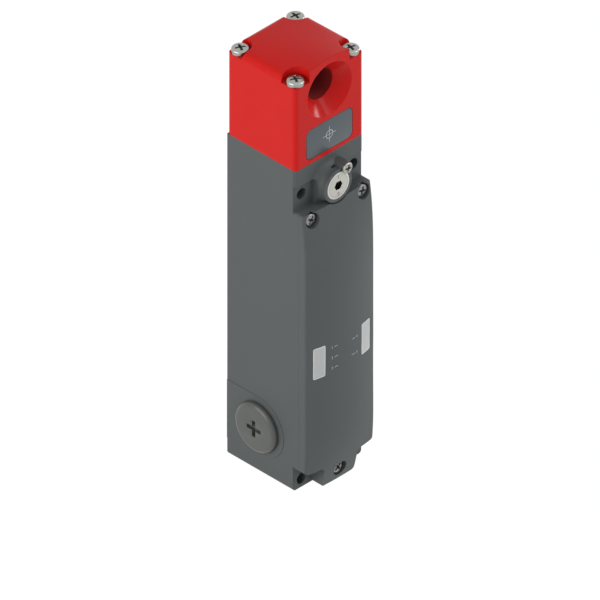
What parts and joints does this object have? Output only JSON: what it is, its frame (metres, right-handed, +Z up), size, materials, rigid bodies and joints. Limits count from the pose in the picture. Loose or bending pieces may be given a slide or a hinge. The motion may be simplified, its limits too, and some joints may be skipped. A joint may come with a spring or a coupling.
{
  "type": "tongue interlock switch",
  "caption": "Safety switch for a guard door: a tongue enters the bore in the red head, a solenoid bolt locks it, and a key-turned disc on the front releases it.",
  "frame": {"origin": "centre of the four fixing holes, on the back face", "axes": "+X to the right seen from the front, +Y out of the back face towards the wall, +Z up towards the head"},
  "size_m": [0.0462, 0.0492, 0.2139],
  "materials": {
    "grey_paint": "satin",
    "red_paint": "satin",
    "zinc": "bright zinc plated",
    "nickel": "satin nickel plated",
    "steel": "turned",
    "spring_steel": "drawn",
    "brass": "turned",
    "rubber": "matt",
    "black_plastic": "matt",
    "plug_plastic": "satin",
    "terminal_plastic": "matt",
    "window_plastic": "satin",
    "led_lens": "translucent",
    "circuit_board": "coated",
    "copper_wire": "enamelled"
  },
  "bodies": {
    "switch": {"antenna_board": "circuit_board", "antenna_coil": "copper_wire", "antenna_window": "window_plastic", "board_screws": "zinc", "bolt_guide_bush": "brass", "contact_block": "black_plastic", "contact_screws": "zinc", "cover": "grey_paint", "cover_gasket": "rubber", "cover_screws": "zinc", "earth_screw": "brass", "follower_ring": "spring_steel", "follower_spring": "spring_steel", "head_casting": "red_paint", "head_gasket": "rubber", "head_screws": "zinc", "housing": "grey_paint", "led_window_left": "led_lens", "led_window_right": "led_lens", "leds": "led_lens", "lock_spring": "spring_steel", "main_board": "circuit_board", "plug_bottom": "plug_plastic", "plug_left": "plug_plastic", "plug_right": "plug_plastic", "plug_seals": "rubber", "release_lock_screw": "zinc", "solenoid_bobbin": "black_plastic", "solenoid_coil": "copper_wire", "solenoid_frame": "steel", "solenoid_pole": "steel", "solenoid_screws": "zinc", "terminal_block": "terminal_plastic", "terminal_screws": "zinc"},
    "release": {"release_disc": "nickel", "release_shaft": "steel", "release_seal": "rubber", "release_clip": "spring_steel"},
    "lock": {"lock_bolt": "steel", "lock_rod": "steel", "armature": "steel", "contact_carrier": "black_plastic"},
    "follower": {"actuator_follower": "steel"}
  },
  "joints": [
    {"name": "lock_slide", "type": "slide", "parent": "switch", "child": "lock", "axis": [0, 0, 1], "range_m": [0, 0.0045], "stiffness_N_per_m": 300, "springref_m": -0.004, "deforming": ["lock_spring"]},
    {"name": "release_turn", "type": "hinge", "parent": "switch", "child": "release", "pos_m": [0, -0.042, 0.07215], "axis": [0, 1, 0], "range_deg": [0, 180]},
    {"name": "follower_slide", "type": "slide", "parent": "switch", "child": "follower", "axis": [0, 1, 0], "range_m": [0, 0.0046], "stiffness_N_per_m": 200, "springref_m": -0.003, "deforming": ["follower_spring"]}
  ],
  "couplings": [
    {"joint": "release_turn", "follows": "lock_slide", "rad_per_m": 698.13}
  ]
}
